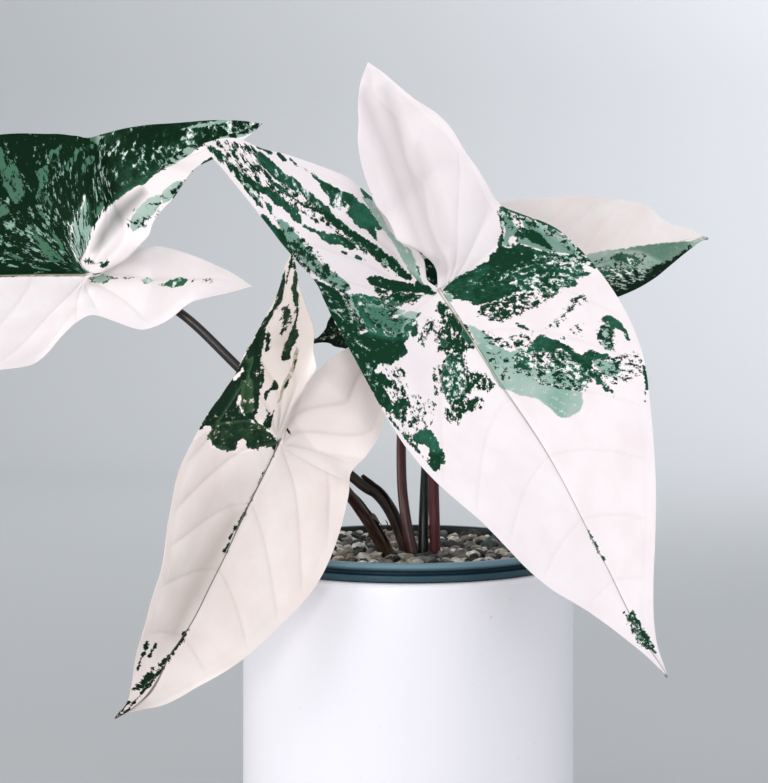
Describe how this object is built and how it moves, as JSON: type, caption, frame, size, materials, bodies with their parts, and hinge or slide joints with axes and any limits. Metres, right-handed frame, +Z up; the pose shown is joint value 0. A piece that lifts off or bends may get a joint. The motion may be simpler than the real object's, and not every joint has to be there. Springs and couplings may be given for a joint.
{
  "type": "potted plant",
  "caption": "Potted variegated syngonium with arrowhead leaves on dark petioles, in a stone-topped nursery pot set inside a plain white cylindrical planter.",
  "frame": {"origin": "centre of the planter's flat underside, on the pot's axis", "axes": "+Z up along the planter's axis, -Y towards the viewer of the picture, +X to the viewer's right"},
  "size_m": [0.3396, 0.1455, 0.2776],
  "materials": {
    "white_glazed_ceramic": "satin",
    "grey_teal_plastic": "satin",
    "potting_mix": "matte",
    "crown_tissue": "matte",
    "dark_petiole": "satin",
    "green_black_petiole": "satin",
    "front_blade_green_white": "satin",
    "lower_blade_green_white": "satin",
    "left_blade_green_white": "satin",
    "right_blade_green_white": "satin",
    "back_blade_green_white": "satin",
    "stone_1": "matte",
    "stone_2": "matte",
    "stone_3": "matte",
    "stone_4": "matte",
    "stone_5": "matte",
    "stone_6": "matte"
  },
  "bodies": {
    "root": {"planter": "white_glazed_ceramic", "nursery_pot": "grey_teal_plastic", "potting_mix": "potting_mix", "crown": "crown_tissue", "front_petiole": "dark_petiole", "front_blade": "front_blade_green_white", "lower_petiole": "dark_petiole", "lower_blade": "lower_blade_green_white", "left_petiole": "dark_petiole", "left_blade": "left_blade_green_white", "right_petiole": "green_black_petiole", "right_blade": "right_blade_green_white", "back_petiole": "dark_petiole", "back_blade": "back_blade_green_white", "left_sheath": "green_black_petiole", "lower_sheath": "green_black_petiole", "stone_01": "stone_5", "stone_02": "stone_4", "stone_03": "stone_5", "stone_04": "stone_6", "stone_05": "stone_6", "stone_06": "stone_6", "stone_07": "stone_6", "stone_08": "stone_5", "stone_09": "stone_1", "stone_10": "stone_3", "stone_11": "stone_5", "stone_12": "stone_4", "stone_13": "stone_5", "stone_14": "stone_4", "stone_15": "stone_6", "stone_16": "stone_1", "stone_17": "stone_1", "stone_18": "stone_6", "stone_19": "stone_2", "stone_20": "stone_1", "stone_21": "stone_1", "stone_22": "stone_4", "stone_23": "stone_2", "stone_24": "stone_1", "stone_25": "stone_5", "stone_26": "stone_5", "stone_27": "stone_2", "stone_28": "stone_6", "stone_29": "stone_5", "stone_30": "stone_1", "stone_31": "stone_4", "stone_32": "stone_1", "stone_33": "stone_1", "stone_34": "stone_6", "stone_35": "stone_3", "stone_36": "stone_6", "stone_37": "stone_2", "stone_38": "stone_6"}
  },
  "joints": []
}
